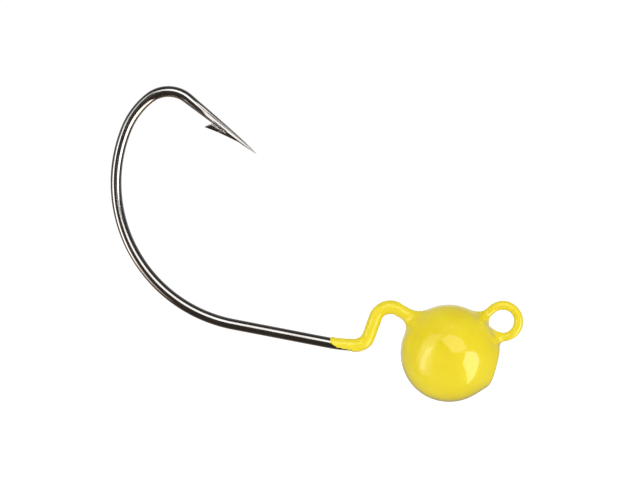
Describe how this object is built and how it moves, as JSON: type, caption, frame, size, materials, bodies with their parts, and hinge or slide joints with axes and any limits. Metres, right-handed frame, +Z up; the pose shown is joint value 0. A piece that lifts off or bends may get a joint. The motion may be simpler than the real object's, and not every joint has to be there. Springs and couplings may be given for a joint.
{
  "type": "jig head",
  "caption": "Weedless jig head: a cast lead ball on a Z-bend hook with a barbed point and a line eye, under bright powder paint.",
  "frame": {"origin": "centre of the line eye's hole", "axes": "+X forward, from the hook towards the line eye; +Z up, towards the side the hook's point is on; +Y across the hook's plane, along the axis of the line eye. The hook lies in the XZ plane."},
  "size_m": [0.0461, 0.0108, 0.0353],
  "materials": {
    "hook_steel": "black nickel plate on high-carbon steel, bright, with fine drawing marks",
    "lead": "as-cast lead, dull grey",
    "paint": "gloss yellow powder paint, baked, slightly uneven"
  },
  "bodies": {
    "root": {"hook": "hook_steel", "lead_head": "lead", "powder_coat": "paint"}
  },
  "joints": []
}
